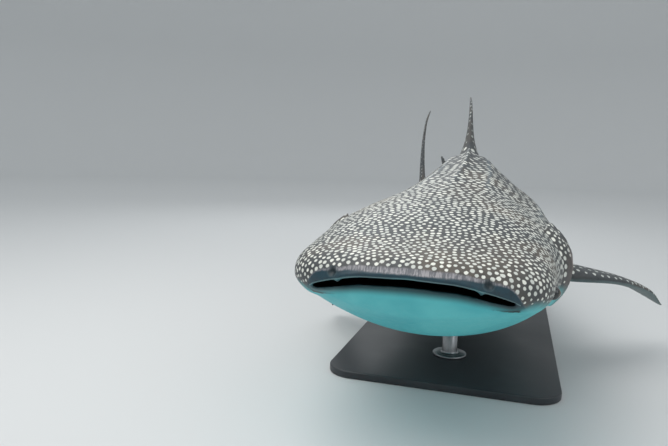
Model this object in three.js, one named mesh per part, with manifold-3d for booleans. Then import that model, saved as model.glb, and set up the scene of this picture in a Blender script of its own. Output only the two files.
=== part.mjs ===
// A life-size whale shark, 6 m long, swimming with a slight bend, on a plain two-rod display stand.
// Millimetres, +Z up. The shark faces -Y. The origin is the middle of the whole model's box, at the floor.
//
// Every piece is first laid out on a straight fish: s runs back from the snout, x to the fish's left and
// z up from the level of the mouth. place() then bends the straight fish along the curve that it swims.
import * as THREE from "three";
import { mergeVertices } from "three/addons/utils/BufferGeometryUtils.js";
import Module from "manifold-3d";

const wasm = await Module();
wasm.setup();

// Driving sizes
const GAP = 0.3;
const TIDY = 0.08;
const RING_POINTS = 48;
const CUTS = [760, 1500, 2250, 3000, 3800, 5060];
const TORSO_NAMES = ["torso_gills", "torso_front", "torso_middle", "torso_rear", "tail_stock"];
const STATION_STEP = 108;
const SNOUT = { sides: 360, top: 70, chin: 100, stations: 11 };
const MOUTH = { half: 385, inner: 330, recess: 26, columns: 20 };
const LIPS = { upper: 13, lower: 11, sides: 7, steps: 20 };
const EYE = { s: 360, z: -25, radius: 27, sunk: 8 };
const SPIRACLE = { s: 455, z: -12, radius: 17 };
const NOSTRIL = { x: 278, rise: 34, radius: 17, barbelX: 254, barbel: 11 };
const FLOOR_Z = -700;
const BASE = { s: 2120, length: 2400, width: 1200, height: 40, corner: 140, bevel: 8 };
const ROD = { radius: 42, stations: { front: 1400, rear: 2860 }, collar: 95, collarHeight: 14, inside: 150 };

// Rows of [s, value] along the straight fish
const HALF_WIDTH = [[0, 495], [500, 520], [900, 572], [1300, 592], [1800, 575], [2300, 520], [2800, 440],
  [3300, 355], [3800, 262], [4200, 186], [4500, 132], [4800, 78], [5060, 16]];
const RISE = [[0, 90], [100, 118], [300, 172], [500, 232], [900, 318], [1300, 390], [1800, 470], [2300, 535],
  [2800, 520], [3300, 415], [3800, 280], [4200, 192], [4500, 140], [4800, 112], [5060, 60]];
const DROP = [[0, 70], [100, 122], [200, 168], [350, 230], [550, 292], [900, 352], [1300, 397], [1800, 425],
  [2300, 420], [2800, 375], [3300, 300], [3800, 210], [4200, 150], [4500, 122], [4800, 92], [5060, 36]];
const MIDDLE = [[0, 8], [500, -10], [1300, -20], [2300, -20], [3300, 0], [4500, 40], [5060, 60]];
const BACK_SQUARENESS = [[0, 2.7], [500, 2.4], [900, 1.9], [1300, 1.5], [2300, 1.3], [3300, 1.45], [4800, 2.0]];
const BELLY_SQUARENESS = [[0, 1.8], [500, 1.95], [1000, 2.15], [2300, 2.1], [4800, 2.0]];
const HEADING = [[-200, 0], [400, 0], [1100, -3.4], [2000, 2.6], [2900, 5.3], [3500, 12.8], [4200, 29.5],
  [5000, 14], [6100, 2]];

// Rows of [distance from the middle of the mouth, value]: the upper lip's edge, and how far the mouth is open
const UPPER_LIP = [[0, 47], [165, 40], [250, 24], [320, 4], [360, -12], [385, -28]];
const MOUTH_OPEN = [[0, 32], [220, 31], [340, 20], [385, 1.2]];
// Beyond the corners of the mouth the jaws part along a line that passes under the eyes
const CHEEK = [[385, 0], [430, -40], [480, -56], [700, -56]];

// Lengthwise skin ridges: their angle round the body in degrees, and rows of [s, height]
const RIDGES = [
  { angle: 90, height: [[900, 0], [1500, 14], [2400, 26], [2700, 8], [3300, 8], [3900, 4], [4300, 0]] },
  { angle: 67.5, height: [[1000, 0], [1500, 15], [2500, 15], [3100, 0]] },
  { angle: 37.5, height: [[1050, 0], [1600, 18], [3300, 14], [4000, 6], [4300, 0]] },
  { angle: 7.5, height: [[1500, 0], [2000, 20], [3400, 20], [4100, 42], [4700, 52], [5060, 4]] },
];
const RIDGE_SPREAD = 4;

// Gill flaps from front to back: where each is rooted, its angles from below to above, and how far it stands off
const GILL_FLAPS = [
  { s: 800, low: -28, high: 34, lift: 28 },
  { s: 900, low: -26, high: 34, lift: 21 },
  { s: 1000, low: -24, high: 33, lift: 19 },
  { s: 1100, low: -14, high: 32, lift: 18 },
  { s: 1195, low: 1, high: 31, lift: 17 },
];
const FLAP = { reach: 105, thick: 9, sunk: 26, rows: 8, sweep: 46 };

// A smooth curve through rows of [t, value] that never overshoots them
function smoothCurve(rows) {
  const t = rows.map((row) => row[0]);
  const v = rows.map((row) => row[1]);
  const last = t.length - 1;
  const step = t.slice(1).map((value, i) => value - t[i]);
  const slope = step.map((h, i) => (v[i + 1] - v[i]) / h);
  const tangent = t.map((_, i) => {
    if (i === 0) return slope[0];
    if (i === last) return slope[last - 1];
    if (slope[i - 1] * slope[i] <= 0) return 0;
    const a = 2 * step[i] + step[i - 1];
    const b = step[i] + 2 * step[i - 1];
    return (a + b) / (a / slope[i - 1] + b / slope[i]);
  });
  return (at) => {
    let i = 0;
    while (i < last - 1 && at > t[i + 1]) i += 1;
    const u = Math.min(1, Math.max(0, (at - t[i]) / step[i]));
    const start = (2 * u ** 3 - 3 * u ** 2 + 1) * v[i] + (u ** 3 - 2 * u ** 2 + u) * step[i] * tangent[i];
    const end = (3 * u ** 2 - 2 * u ** 3) * v[i + 1] + (u ** 3 - u ** 2) * step[i] * tangent[i + 1];
    return start + end;
  };
}

const halfWidth = smoothCurve(HALF_WIDTH);
const rise = smoothCurve(RISE);
const drop = smoothCurve(DROP);
const middle = smoothCurve(MIDDLE);
const backSquareness = smoothCurve(BACK_SQUARENESS);
const bellySquareness = smoothCurve(BELLY_SQUARENESS);
const heading = smoothCurve(HEADING);
const upperLipCurve = smoothCurve(UPPER_LIP);
const mouthOpenCurve = smoothCurve(MOUTH_OPEN);
const cheekCurve = smoothCurve(CHEEK);
const ridges = RIDGES.map(({ angle, height }) => ({ angle, at: smoothCurve(height) }));

const radians = THREE.MathUtils.degToRad;
const blend = THREE.MathUtils.lerp;
const signedPower = (value, power) => Math.sign(value) * Math.abs(value) ** power;
const steps = (count, make) => Array.from({ length: count + 1 }, (_, i) => make(i / count, i));

// 0 at the front of a rounded end, and 1 from its full length on
function roundedEnd(s, length, power) {
  const t = Math.min(1, Math.max(0, s / length));
  return (1 - (1 - t) ** power) ** (1 / power);
}

// The curve that the fish swims along, as points at even steps
const PATH = { start: -200, end: 6100, step: 10, points: [] };
for (let s = PATH.start, x = 0, y = PATH.start; s <= PATH.end; s += PATH.step) {
  PATH.points.push([x, y]);
  const angle = radians(heading(s + PATH.step / 2));
  x -= Math.sin(angle) * PATH.step;
  y += Math.cos(angle) * PATH.step;
}

// A point of the straight fish, put where the bent fish has it
function place(s, x, z) {
  const along = (Math.min(PATH.end, Math.max(PATH.start, s)) - PATH.start) / PATH.step;
  const i = Math.min(PATH.points.length - 2, Math.floor(along));
  const [before, after] = [PATH.points[i], PATH.points[i + 1]];
  const angle = radians(heading(s));
  return new THREE.Vector3(
    blend(before[0], after[0], along - i) + x * Math.cos(angle),
    blend(before[1], after[1], along - i) + x * Math.sin(angle),
    z,
  );
}

// The body's cross-section at s. recess moves its rounded front back, and grow makes it fatter.
function section(s, { recess = 0, grow = 0 } = {}) {
  const front = s - recess;
  return {
    middle: middle(s),
    width: halfWidth(s) * roundedEnd(front, SNOUT.sides, 2.7) + grow,
    up: rise(s) * roundedEnd(front, SNOUT.top, 2.2) + grow,
    down: drop(s) * roundedEnd(front, SNOUT.chin, 2) + grow,
    back: backSquareness(s),
    belly: bellySquareness(s),
  };
}

// A point of the cross-section as [x, z]. 0 degrees is the left side, 90 the back.
function sectionPoint(s, degrees, options) {
  const shape = section(s, options);
  const angle = radians(degrees);
  const above = Math.sin(angle) >= 0;
  const power = 2 / (above ? shape.back : shape.belly);
  const folded = Math.cos(angle) >= 0 ? degrees : 180 - degrees;
  const level = folded > 180 ? folded - 360 : folded;
  const bump = ridges.reduce((sum, ridge) => {
    return sum + Math.max(0, ridge.at(s)) * Math.exp(-0.5 * ((level - ridge.angle) / RIDGE_SPREAD) ** 2);
  }, 0);
  return [
    shape.width * signedPower(Math.cos(angle), power) + bump * Math.cos(angle),
    shape.middle + (above ? shape.up : shape.down) * signedPower(Math.sin(angle), power) + bump * Math.sin(angle),
  ];
}

// The first station where the body, seen from the front, covers the point x, z
function frontStation(x, z, recess = 0) {
  for (let s = recess + 1; s < SNOUT.sides; s += 1) {
    const shape = section(s, { recess });
    const above = z >= shape.middle;
    const power = above ? shape.back : shape.belly;
    const height = Math.abs(z - shape.middle) / (above ? shape.up : shape.down);
    if (Math.abs(x / shape.width) ** power + height ** power <= 1) return s;
  }
  return SNOUT.sides;
}

// A closed mesh through rings of equal length, fanned shut at each end
function loft(rings) {
  const size = rings[0].length;
  const points = rings.flat();
  const index = [];
  rings.slice(1).forEach((_, r) => {
    for (let i = 0; i < size; i += 1) {
      const a = r * size + i;
      const b = r * size + ((i + 1) % size);
      index.push(a, b, a + size, b, b + size, a + size);
    }
  });
  for (const [r, turned] of [[0, true], [rings.length - 1, false]]) {
    const centre = new THREE.Vector3();
    rings[r].forEach((p) => centre.addScaledVector(p, 1 / size));
    const hub = points.push(centre) - 1;
    for (let i = 0; i < size; i += 1) {
      const a = r * size + i;
      const b = r * size + ((i + 1) % size);
      index.push(hub, ...(turned ? [b, a] : [a, b]));
    }
  }
  const geometry = new THREE.BufferGeometry().setFromPoints(points);
  return solidOf(geometry.setIndex(index));
}

// Solids for joining and cutting
function solidOf(geometry) {
  const bare = new THREE.BufferGeometry().setAttribute("position", geometry.getAttribute("position"));
  bare.setIndex(geometry.index);
  const merged = mergeVertices(bare, 1e-3);
  const corners = Array.from(merged.index.array);
  const make = () => new wasm.Manifold(new wasm.Mesh({
    numProp: 3,
    vertProperties: new Float32Array(merged.attributes.position.array),
    triVerts: new Uint32Array(corners),
  }));
  const made = make();
  if (made.volume() > 0) return made;
  corners.reverse();
  return make();
}

function geometryOf(solid) {
  const mesh = solid.getMesh();
  const geometry = new THREE.BufferGeometry();
  geometry.setAttribute("position", new THREE.BufferAttribute(mesh.vertProperties, 3));
  geometry.setIndex(new THREE.BufferAttribute(mesh.triVerts, 1));
  geometry.computeVertexNormals();
  return geometry;
}

const union = (solids) => solids.reduce((a, b) => a.add(b));
const largest = (solid) => solid.decompose().sort((a, b) => b.volume() - a.volume())[0];

function ball(centre, radius, around = 12) {
  const geometry = new THREE.SphereGeometry(radius, around, Math.round(around / 2) + 1);
  return solidOf(geometry.translate(centre.x, centre.y, centre.z));
}

// Body stations: close together where the snout rounds, then even between the cuts
const snoutStations = steps(SNOUT.stations, (t) => SNOUT.sides * (1 - Math.cos(t * (Math.PI / 2)))).slice(1);

function between(from, to) {
  return steps(Math.max(1, Math.round((to - from) / STATION_STEP)), (t) => blend(from, to, t));
}

function bodyRing(s, options) {
  return steps(RING_POINTS - 1, (t, i) => place(s, ...sectionPoint(s, (i * 360) / RING_POINTS, options)));
}

function bodySolid(stations, options) {
  return loft(stations.map((s) => bodyRing(s, options)));
}

// The stations from one cut to the next, drawn in by half a gap where the neighbour begins
function pieceStations(from, to, atStart, atEnd) {
  const stations = between(from, to);
  stations[0] += atStart;
  stations[stations.length - 1] -= atEnd;
  return stations;
}

// The mouth: its edges, the room inside it, and the cut that parts the jaws behind it
const upperLip = (x) => upperLipCurve(Math.min(MOUTH.half, Math.abs(x)));
const mouthOpen = (x) => mouthOpenCurve(Math.min(MOUTH.half, Math.abs(x)));
const lowerLip = (x) => upperLip(x) - mouthOpen(x);

function mouthRoom() {
  return loft(steps(MOUTH.columns, (t) => {
    const x = MOUTH.half * Math.sin((t - 0.5) * Math.PI);
    const depth = 20 + MOUTH.inner * Math.sqrt(Math.max(0, 1 - (x / (MOUTH.half + 5)) ** 2));
    const front = frontStation(x, upperLip(x));
    const share = mouthOpen(x) / mouthOpen(0);
    const outline = [[-150, 0, 0], [front + 0.12 * depth, 2, 0], [front + 0.6 * depth, 16, 0], [front + depth, -4, 0],
      [front + depth, 4, 1], [front + 0.6 * depth, -26, 1], [front + 0.2 * depth, -6, 1], [-150, 0, 1]];
    return outline.map(([s, rise, below]) => place(s, x, (below ? lowerLip(x) : upperLip(x)) + rise * share));
  }));
}

// Everything below, or above, the surface that parts the jaws
function jawSide(way) {
  const far = 700;
  const inner = steps(MOUTH.columns, (t) => MOUTH.half * Math.sin((t - 0.5) * Math.PI));
  const outer = [far, 480, 430];
  const rows = [...outer.map((x) => -x), ...inner, ...outer.toReversed()];
  const stations = [-150, 100, 300, 500, CUTS[0] + 100];
  return loft(rows.map((x) => {
    const level = (upperLip(x) + lowerLip(x)) / 2 + cheekCurve(Math.abs(x)) + (way * GAP) / 2;
    return [...stations.map((s) => place(s, x, level)), ...stations.toReversed().map((s) => place(s, x, way * far))];
  }));
}

// A round lip along the edge of a jaw, thinning towards the corners of the mouth
function lipRoll(edge, way, radius, recess) {
  const reach = MOUTH.half - 12;
  return loft(steps(LIPS.steps, (t) => {
    const x = reach * Math.sin((t - 0.5) * Math.PI * 0.98);
    const size = radius * (0.3 + 0.7 * Math.sqrt(Math.max(0, 1 - (x / reach) ** 2)));
    const z = edge(x) + way * size * 0.85;
    const s = frontStation(x, z, recess) + size * 0.6;
    return steps(LIPS.sides - 1, (_, i) => {
      const angle = (i / LIPS.sides) * 2 * Math.PI;
      return place(s + size * Math.cos(angle), x, z + size * Math.sin(angle));
    });
  }));
}

// Where a point stands on the skin, lifted off it by lift
function offSkin(s, degrees, lift) {
  const [x, z] = sectionPoint(s, degrees);
  const [x2, z2] = sectionPoint(s, degrees + 1);
  const length = Math.hypot(x2 - x, z2 - z);
  return [x + ((z2 - z) / length) * lift, z - ((x2 - x) / length) * lift];
}

// A gill flap: rooted in the skin in front, with its rear edge standing off over the slit
function gillFlap({ s, low, high, lift }, side, grow = 0) {
  return loft(steps(FLAP.rows, (t) => {
    const swell = Math.sin(Math.PI * blend(0.06, 0.94, t)) ** 0.6;
    const degrees = blend(low - grow / 8, high + grow / 8, t);
    const reach = FLAP.reach * blend(0.5, 1, swell) + grow;
    const stand = lift * swell * blend(0.75, 1.25, t);
    const start = s + FLAP.sweep * (2 * t - 1) ** 2;
    const outline = [[-0.08, -FLAP.sunk], [0.12, 2 + grow], [0.6, stand * 0.5 + FLAP.thick + grow],
      [0.96, stand + FLAP.thick + grow], [1, stand - grow], [0.6, stand * 0.5 - 2 - grow],
      [0.3, -FLAP.sunk - grow]];
    return outline.map(([share, height]) => {
      const at = start + reach * share;
      const [x, z] = offSkin(at, degrees, height);
      return place(at, side * x, z);
    });
  }));
}

function gillFlaps(grow) {
  return union([1, -1].flatMap((side) => GILL_FLAPS.map((flap) => gillFlap(flap, side, grow))));
}

// Fins. lead and trail are rows of [t, s, x, z] from the root to the tip, and thickness is rows of [t, mm].
const FIN_SECTION = [[0, 0], [0.03, 0.42], [0.14, 0.82], [0.36, 1], [0.62, 0.72], [0.85, 0.34], [1, 0.06]];

function finSolid({ lead, trail, thickness, rows = 12 }) {
  const track = (points) => [1, 2, 3].map((column) => smoothCurve(points.map((row) => [row[0], row[column]])));
  const [leading, trailing] = [track(lead), track(trail)];
  const thick = smoothCurve(thickness);
  const at = (curves, t) => new THREE.Vector3(...curves.map((curve) => curve(Math.min(1, Math.max(0, t)))));
  const along = (curves, t) => at(curves, t + 0.02).sub(at(curves, t - 0.02));
  return loft(steps(rows, (t) => {
    const front = at(leading, t);
    const chord = at(trailing, t).sub(front);
    const normal = chord.clone().cross(along(leading, t).add(along(trailing, t))).normalize();
    const half = thick(t) / 2;
    const upper = FIN_SECTION.map(([share, height]) => [share, height * half]);
    const lower = FIN_SECTION.slice(1).toReversed().map(([share, height]) => [share, -height * half]);
    return [...upper, ...lower].map(([share, height]) => {
      const p = front.clone().addScaledVector(chord, share).addScaledVector(normal, height);
      return place(p.x, p.y, p.z);
    });
  }));
}

// tuck 0 spreads the fin out, and 1 holds it lower and closer in
function pectoralFin(side, tuck) {
  const tucked = ([t, s, x, z]) => [t, s, side * x * (1 - 0.28 * tuck * t), z - 200 * tuck * t ** 1.2];
  return {
    lead: [[0, 1235, 420, -100], [0.2, 1330, 640, -125], [0.45, 1490, 860, -162], [0.75, 1770, 1090, -265],
      [1, 2050, 1240, -410]].map(tucked),
    trail: [[0, 1735, 420, -120], [0.2, 1735, 625, -150], [0.45, 1840, 800, -200], [0.75, 1990, 1000, -290],
      [1, 2100, 1232, -416]].map(tucked),
    thickness: [[0, 124], [0.2, 92], [0.45, 58], [0.75, 34], [1, 8]],
  };
}

function pelvicFin(side) {
  return {
    lead: [[0, 2720, side * 190, -270], [0.35, 2800, side * 300, -362], [1, 3030, side * 425, -480]],
    trail: [[0, 2990, side * 180, -262], [0.35, 2990, side * 280, -346], [1, 3066, side * 415, -478]],
    thickness: [[0, 60], [0.35, 36], [1, 7]],
    rows: 8,
  };
}

// A fin on the back (way 1) or under the tail (way -1), from s = from to s = to, swept back by sweep at its tip
function medianFin({ from, to, height, sweep, way, base }) {
  const length = to - from;
  const surface = (s) => middle(s) + way * (way > 0 ? section(s).up : section(s).down);
  const level = surface((from + to) / 2);
  const up = (share) => level + way * height * share;
  const root = (s) => surface(s) - way * 70;
  return {
    lead: [[0, from - 60, 0, root(from)], [0.16, from + 0.12 * length, 0, up(0.06)],
      [0.5, from + 0.45 * sweep, 0, up(0.5)], [0.85, from + 0.86 * sweep, 0, up(0.93)], [1, from + sweep, 0, up(1)]],
    trail: [[0, to, 0, root(to)], [0.16, to - 0.06 * length, 0, up(0.05)],
      [0.5, from + 0.9 * sweep, 0, up(0.42)], [0.85, from + 1.03 * sweep, 0, up(0.84)],
      [1, from + 1.08 * sweep, 0, up(0.97)]],
    thickness: [[0, base * 1.9], [0.16, base], [0.35, base * 0.52], [0.6, base * 0.28], [1, base * 0.07]],
  };
}

const FORK = { s: 5195, z: 60 };
const caudalRoot = (s, way) => [0, s, 0, FORK.z + (way * GAP) / 2];

const FINS = {
  dorsal_fin_first: medianFin({ from: 2560, to: 3230, height: 480, sweep: 640, way: 1, base: 120 }),
  dorsal_fin_second: medianFin({ from: 3900, to: 4240, height: 240, sweep: 330, way: 1, base: 46 }),
  anal_fin: medianFin({ from: 3960, to: 4270, height: 190, sweep: 310, way: -1, base: 40 }),
  pectoral_fin_left: pectoralFin(1, 0),
  pectoral_fin_right: pectoralFin(-1, 1),
  pelvic_fin_left: pelvicFin(1),
  pelvic_fin_right: pelvicFin(-1),
  caudal_fin_upper: {
    lead: [caudalRoot(4660, 1), [0.2, 4870, 0, 235], [0.5, 5200, 10, 600], [0.8, 5570, 40, 925], [1, 5860, 70, 1050]],
    trail: [caudalRoot(FORK.s, 1), [0.2, 5215, 0, 190], [0.5, 5390, 10, 470], [0.8, 5670, 40, 845],
      [1, 5892, 70, 1034]],
    thickness: [[0, 104], [0.2, 66], [0.5, 40], [1, 7]],
  },
  caudal_fin_lower: {
    lead: [caudalRoot(4700, -1), [0.3, 4870, 0, -110], [0.65, 5060, -8, -330], [1, 5235, -24, -505]],
    trail: [caudalRoot(FORK.s, -1), [0.3, 5170, 0, -60], [0.65, 5190, -8, -275], [1, 5262, -24, -492]],
    thickness: [[0, 104], [0.3, 56], [0.65, 32], [1, 7]],
  },
};

// Flesh: the body's lengths, the jaws, the eyes and the fins
const pieces = {};
const headStations = [...snoutStations, ...between(SNOUT.sides, CUTS[0]).slice(1)];
const roundedStations = (recess) => headStations.map((s) => Math.max(s, recess + (s * SNOUT.stations) / 60));
const trimmed = (stations, by) => [...stations.slice(0, -1), stations.at(-1) - by];
const mouth = mouthRoom();

let head = bodySolid(trimmed(headStations, GAP / 2)).intersect(jawSide(1)).subtract(mouth);
head = head.add(lipRoll(upperLip, 1, LIPS.upper, 0));
const jawOptions = { recess: MOUTH.recess };
const jawStations = trimmed(roundedStations(MOUTH.recess), GAP / 2);
let jaw = bodySolid(jawStations, jawOptions).intersect(jawSide(-1)).subtract(mouth);
jaw = jaw.add(lipRoll(lowerLip, -1, LIPS.lower, MOUTH.recess));

for (const [name, side] of [["left", 1], ["right", -1]]) {
  const eye = place(EYE.s, side * (section(EYE.s).width - EYE.sunk), EYE.z);
  pieces[`eye_${name}`] = ball(eye, EYE.radius, 14);
  head = head.subtract(ball(eye, EYE.radius + GAP, 14));
  head = head.subtract(ball(place(SPIRACLE.s, side * (section(SPIRACLE.s).width + 4), SPIRACLE.z), SPIRACLE.radius));
  const nostrilZ = upperLip(NOSTRIL.x) + NOSTRIL.rise;
  const nostril = place(frontStation(NOSTRIL.x, nostrilZ) - 3, side * NOSTRIL.x, nostrilZ);
  head = head.subtract(ball(nostril, NOSTRIL.radius, 10));
  const barbelZ = upperLip(NOSTRIL.barbelX) - 1;
  const barbel = place(frontStation(NOSTRIL.barbelX, barbelZ) + 4, side * NOSTRIL.barbelX, barbelZ);
  head = head.add(ball(barbel, NOSTRIL.barbel, 8));
}
pieces.head = largest(head);
pieces.lower_jaw = largest(jaw);

TORSO_NAMES.forEach((name, i) => {
  const last = i === TORSO_NAMES.length - 1;
  pieces[name] = bodySolid(pieceStations(CUTS[i], CUTS[i + 1], GAP / 2, last ? 0 : GAP / 2));
});
pieces.torso_gills = largest(pieces.torso_gills.add(gillFlaps(0)));

const allStations = [...headStations, ...CUTS.slice(1).flatMap((to, i) => between(CUTS[i], to).slice(1))];
const grownBody = bodySolid([...allStations.slice(0, -1), CUTS.at(-1) + GAP], { grow: GAP });
const grownFlaps = gillFlaps(GAP * 2);
for (const [name, fin] of Object.entries(FINS)) {
  const cutter = name.startsWith("pectoral") ? grownBody.add(grownFlaps) : grownBody;
  pieces[name] = largest(finSolid(fin).subtract(cutter));
}

// Stand: a flat base with rounded corners, and two rods that end under the belly
const plan = new THREE.Shape();
const [halfW, halfL] = [BASE.width / 2 - BASE.bevel, BASE.length / 2 - BASE.bevel];
for (const [x, y, from] of [[1, 1, 0], [-1, 1, 90], [-1, -1, 180], [1, -1, 270]]) {
  const cx = x * (halfW - BASE.corner);
  const cy = y * (halfL - BASE.corner);
  plan.absarc(cx, cy, BASE.corner, radians(from), radians(from + 90), false);
}
const slab = new THREE.ExtrudeGeometry(plan, {
  depth: BASE.height - 2 * BASE.bevel,
  bevelThickness: BASE.bevel,
  bevelSize: BASE.bevel,
  bevelSegments: 1,
  curveSegments: 6,
});
const baseCentre = place(BASE.s, 0, FLOOR_Z + BASE.bevel);
pieces.stand_base = solidOf(slab.translate(baseCentre.x, baseCentre.y, baseCentre.z));

const column = (radius, from, to, at) => {
  const geometry = new THREE.CylinderGeometry(radius, radius, to - from, 32).rotateX(Math.PI / 2);
  return solidOf(geometry.translate(at.x, at.y, (from + to) / 2));
};
for (const [name, s] of Object.entries(ROD.stations)) {
  const bottom = FLOOR_Z + BASE.height + GAP;
  const top = middle(s) - section(s).down + ROD.inside;
  const at = place(s, 0, 0);
  const rod = column(ROD.radius, bottom, top, at).add(column(ROD.collar, bottom, bottom + ROD.collarHeight, at));
  const under = rod.subtract(grownBody).decompose().sort((a, b) => a.boundingBox().min[2] - b.boundingBox().min[2]);
  pieces[`stand_rod_${name}`] = under[0];
}

// Looks of the bare solids
const COLOURS = { eye: 0x15181a, stand: 0x2b2d30, flesh: 0x5d6a70 };
const group = new THREE.Group();
group.name = "whale_shark";
for (const [name, solid] of Object.entries(pieces)) {
  const color = COLOURS[name.split("_")[0]] ?? COLOURS.flesh;
  const mesh = new THREE.Mesh(geometryOf(solid.simplify(TIDY)), new THREE.MeshStandardMaterial({ color, roughness: 0.55 }));
  mesh.name = name;
  group.add(mesh);
}

// Put the origin at the bottom middle of the whole model's box
const box = new THREE.Box3().setFromObject(group);
const centre = box.getCenter(new THREE.Vector3());
for (const mesh of group.children) mesh.geometry.translate(-centre.x, -centre.y, -box.min.z);

export default group;
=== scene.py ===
"""A life-size whale shark on its stand: one skin over the whole body, two eyes, the stand and the studio.

Metres, +Z up. Shapes are laid out on a straight fish: s runs back from the snout, x to the fish's left
and z up from the level of the mouth. Swim.place() bends it along the curve that the fish swims.
"""
import math

import bpy
import numpy as np
from mathutils import Matrix, Vector
from mathutils.kdtree import KDTree


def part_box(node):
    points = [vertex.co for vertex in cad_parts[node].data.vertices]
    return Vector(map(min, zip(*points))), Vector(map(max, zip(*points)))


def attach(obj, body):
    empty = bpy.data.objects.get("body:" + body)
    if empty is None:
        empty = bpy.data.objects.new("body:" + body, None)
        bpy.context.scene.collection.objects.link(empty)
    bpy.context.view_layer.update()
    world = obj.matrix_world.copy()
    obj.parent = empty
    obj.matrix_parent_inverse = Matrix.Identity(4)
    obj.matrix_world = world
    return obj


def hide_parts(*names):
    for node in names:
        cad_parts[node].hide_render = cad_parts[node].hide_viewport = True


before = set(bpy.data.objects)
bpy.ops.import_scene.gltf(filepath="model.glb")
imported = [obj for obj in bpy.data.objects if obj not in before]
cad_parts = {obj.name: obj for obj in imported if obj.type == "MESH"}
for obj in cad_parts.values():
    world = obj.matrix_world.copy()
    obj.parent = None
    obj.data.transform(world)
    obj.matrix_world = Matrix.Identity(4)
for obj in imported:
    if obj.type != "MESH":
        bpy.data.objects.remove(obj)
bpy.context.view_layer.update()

# Body, as rows of (s, metres)
HALF_WIDTH = [(0, 0.495), (0.5, 0.52), (0.9, 0.572), (1.3, 0.592), (1.8, 0.575), (2.3, 0.52), (2.8, 0.44),
              (3.3, 0.355), (3.8, 0.262), (4.2, 0.186), (4.5, 0.132), (4.8, 0.078), (5.06, 0.016)]
RISE = [(0, 0.09), (0.1, 0.118), (0.3, 0.172), (0.5, 0.232), (0.9, 0.318), (1.3, 0.39), (1.8, 0.47),
        (2.3, 0.535), (2.8, 0.52), (3.3, 0.415), (3.8, 0.28), (4.2, 0.192), (4.5, 0.14), (4.8, 0.112),
        (5.06, 0.06)]
DROP = [(0, 0.07), (0.1, 0.122), (0.2, 0.168), (0.35, 0.23), (0.55, 0.292), (0.9, 0.352), (1.3, 0.397),
        (1.8, 0.425), (2.3, 0.42), (2.8, 0.375), (3.3, 0.3), (3.8, 0.21), (4.2, 0.15), (4.5, 0.122),
        (4.8, 0.092), (5.06, 0.036)]
MIDDLE = [(0, 0.008), (0.5, -0.01), (1.3, -0.02), (2.3, -0.02), (3.3, 0), (4.5, 0.04), (5.06, 0.06)]
# How square the cross-section is at s: 2 is an ellipse, and more is squarer
BACK_SQUARENESS = [(0, 2.7), (0.5, 2.4), (0.9, 1.9), (1.3, 1.5), (2.3, 1.3), (3.3, 1.45), (4.8, 2.0)]
BELLY_SQUARENESS = [(0, 1.8), (0.5, 1.95), (1.0, 2.15), (2.3, 2.1), (4.8, 2.0)]
# Which way the body heads at s, in degrees
HEADING = [(-0.2, 0), (0.4, 0), (1.1, -3.4), (2.0, 2.6), (2.9, 5.3), (3.5, 12.8), (4.2, 29.5), (5.0, 14),
           (6.1, 2)]
BODY_END = 5.06
# The rounded front: how far back it reaches, and how blunt it is
SNOUT = {"sides": (0.36, 2.7), "top": (0.07, 2.2), "chin": (0.1, 2.0)}
# Skin ridges: the angle round the body where each runs, and rows of (s, height)
RIDGES = [
    (90, [(0.9, 0), (1.5, 0.014), (2.4, 0.026), (2.7, 0.008), (3.3, 0.008), (3.9, 0.004), (4.3, 0)]),
    (67.5, [(1.0, 0), (1.5, 0.015), (2.5, 0.015), (3.1, 0)]),
    (37.5, [(1.05, 0), (1.6, 0.018), (3.3, 0.014), (4.0, 0.006), (4.3, 0)]),
    (7.5, [(1.5, 0), (2.0, 0.02), (3.4, 0.02), (4.1, 0.042), (4.7, 0.052), (5.06, 0.004)]),
]
RIDGE_SPREAD = 4  # degrees

# Mouth, as rows of (distance from the middle, value), and the features round it
UPPER_LIP = [(0, 0.047), (0.165, 0.04), (0.25, 0.024), (0.32, 0.004), (0.36, -0.012), (0.385, -0.028)]
MOUTH_OPEN = [(0, 0.032), (0.22, 0.031), (0.34, 0.02), (0.385, 0.0012)]
MOUTH = {"half": 0.385, "inner": 0.33, "recess": 0.026}
# Beyond the corners of the mouth the jaws part along a line that passes under the eyes
CHEEK = [(0.385, 0), (0.43, -0.04), (0.48, -0.056), (0.7, -0.056)]
# How softly the set-back lower jaw joins the head, by height, across the mouth and along the body
JAW_BLEND = {"middle": 0.018, "corner": 0.05, "from_x": 0.22, "over_x": 0.14, "end": 0.5, "over_s": 0.3}
# The inside of the mouth: rows of (share of its depth, height off the lip, 1 on the lower jaw)
MOUTH_ROOM = [(0.12, 0.002, 0), (0.35, 0.01, 0), (0.6, 0.016, 0), (0.85, 0.01, 0), (1, -0.004, 0),
              (1, 0.004, 1), (0.85, -0.018, 1), (0.6, -0.026, 1), (0.35, -0.018, 1), (0.2, -0.006, 1)]
AHEAD_OF_SNOUT = -0.15
LIP_RADIUS = {"upper": 0.013, "lower": 0.011}
EYE = {"s": 0.36, "z": -0.025, "radius": 0.027, "sunk": 0.008}
SPIRACLE = {"s": 0.455, "z": -0.012, "radius": 0.017}
NOSTRIL = {"x": 0.278, "rise": 0.034, "radius": 0.016, "barbel_x": 0.254, "barbel": 0.01}

# Gill flaps: where each is rooted, its angles from below to above, and how far it stands off
GILL_FLAPS = [(0.8, -28, 34, 0.028), (0.9, -26, 34, 0.021), (1.0, -24, 33, 0.019), (1.1, -14, 32, 0.018),
              (1.195, 1, 31, 0.017)]
FLAP = {"reach": 0.105, "thick": 0.009, "sunk": 0.026, "sweep": 0.046}

# Fineness of the skin
VOXEL = 0.006
RING_POINTS = 240
STATION_STEP = 0.013
FRONT_STEP = 0.0005
SMOOTHING = {"weight": 0.5, "rounds": 3}

# Stand
BASE = {"s": 2.12, "corner": 0.14, "bevel": 0.008}
FLOOR_Z = -0.7
ROD = {"radius": 0.042, "collar": 0.095, "collar_height": 0.014, "edge": 0.003, "fillet": 0.012,
       "into_fish": 0.03}

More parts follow.
